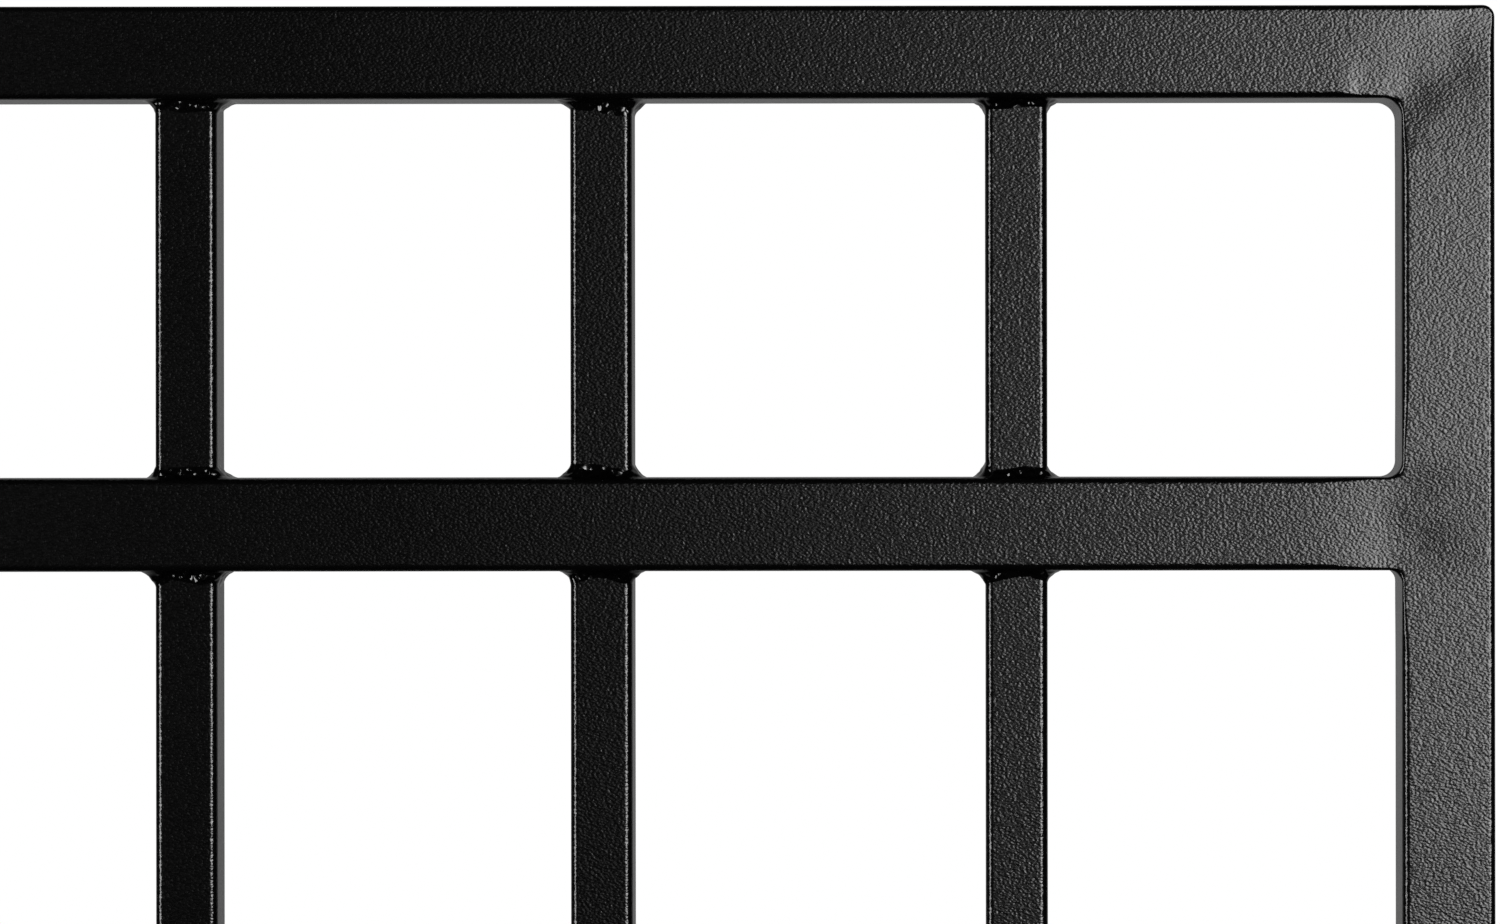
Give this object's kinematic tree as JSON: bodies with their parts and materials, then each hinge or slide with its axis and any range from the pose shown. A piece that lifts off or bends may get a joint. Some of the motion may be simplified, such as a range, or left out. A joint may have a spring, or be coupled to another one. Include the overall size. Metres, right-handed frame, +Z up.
{
  "type": "window security bar",
  "caption": "Fixed window guard: a black welded grille of square steel tube, with pickets between rails and drilled wall tabs.",
  "frame": {"origin": "middle of the guard, on the wall plane that its back lies in", "axes": "+X to the right as seen from the street, +Y into the wall, +Z up"},
  "size_m": [0.7866, 0.03, 1],
  "materials": {
    "powder_coat": "black powder coat with a fine texture, satin",
    "weld_coat": "the same black powder coat over weld beads, where it is smoother and glossier"
  },
  "bodies": {
    "root": {"top_rail": "powder_coat", "bottom_rail": "powder_coat", "left_stile": "powder_coat", "right_stile": "powder_coat", "upper_cross_rail": "powder_coat", "lower_cross_rail": "powder_coat", "picket_1_upper": "powder_coat", "picket_1_middle": "powder_coat", "picket_1_lower": "powder_coat", "picket_2_upper": "powder_coat", "picket_2_middle": "powder_coat", "picket_2_lower": "powder_coat", "picket_3_upper": "powder_coat", "picket_3_middle": "powder_coat", "picket_3_lower": "powder_coat", "picket_4_upper": "powder_coat", "picket_4_middle": "powder_coat", "picket_4_lower": "powder_coat", "wall_tab_left_upper": "powder_coat", "wall_tab_left_lower": "powder_coat", "wall_tab_right_upper": "powder_coat", "wall_tab_right_lower": "powder_coat", "corner_weld_top_left": "weld_coat", "corner_weld_top_right": "weld_coat", "corner_weld_bottom_left": "weld_coat", "corner_weld_bottom_right": "weld_coat", "cross_rail_weld_upper_left": "weld_coat", "cross_rail_weld_upper_right": "weld_coat", "cross_rail_weld_lower_left": "weld_coat", "cross_rail_weld_lower_right": "weld_coat", "picket_weld_1_upper_top": "weld_coat", "picket_weld_1_upper_bottom": "weld_coat", "picket_weld_1_middle_top": "weld_coat", "picket_weld_1_middle_bottom": "weld_coat", "picket_weld_1_lower_top": "weld_coat", "picket_weld_1_lower_bottom": "weld_coat", "picket_weld_2_upper_top": "weld_coat", "picket_weld_2_upper_bottom": "weld_coat", "picket_weld_2_middle_top": "weld_coat", "picket_weld_2_middle_bottom": "weld_coat", "picket_weld_2_lower_top": "weld_coat", "picket_weld_2_lower_bottom": "weld_coat", "picket_weld_3_upper_top": "weld_coat", "picket_weld_3_upper_bottom": "weld_coat", "picket_weld_3_middle_top": "weld_coat", "picket_weld_3_middle_bottom": "weld_coat", "picket_weld_3_lower_top": "weld_coat", "picket_weld_3_lower_bottom": "weld_coat", "picket_weld_4_upper_top": "weld_coat", "picket_weld_4_upper_bottom": "weld_coat", "picket_weld_4_middle_top": "weld_coat", "picket_weld_4_middle_bottom": "weld_coat", "picket_weld_4_lower_top": "weld_coat", "picket_weld_4_lower_bottom": "weld_coat", "tab_weld_left_upper": "weld_coat", "tab_weld_left_lower": "weld_coat", "tab_weld_right_upper": "weld_coat", "tab_weld_right_lower": "weld_coat"}
  },
  "joints": []
}
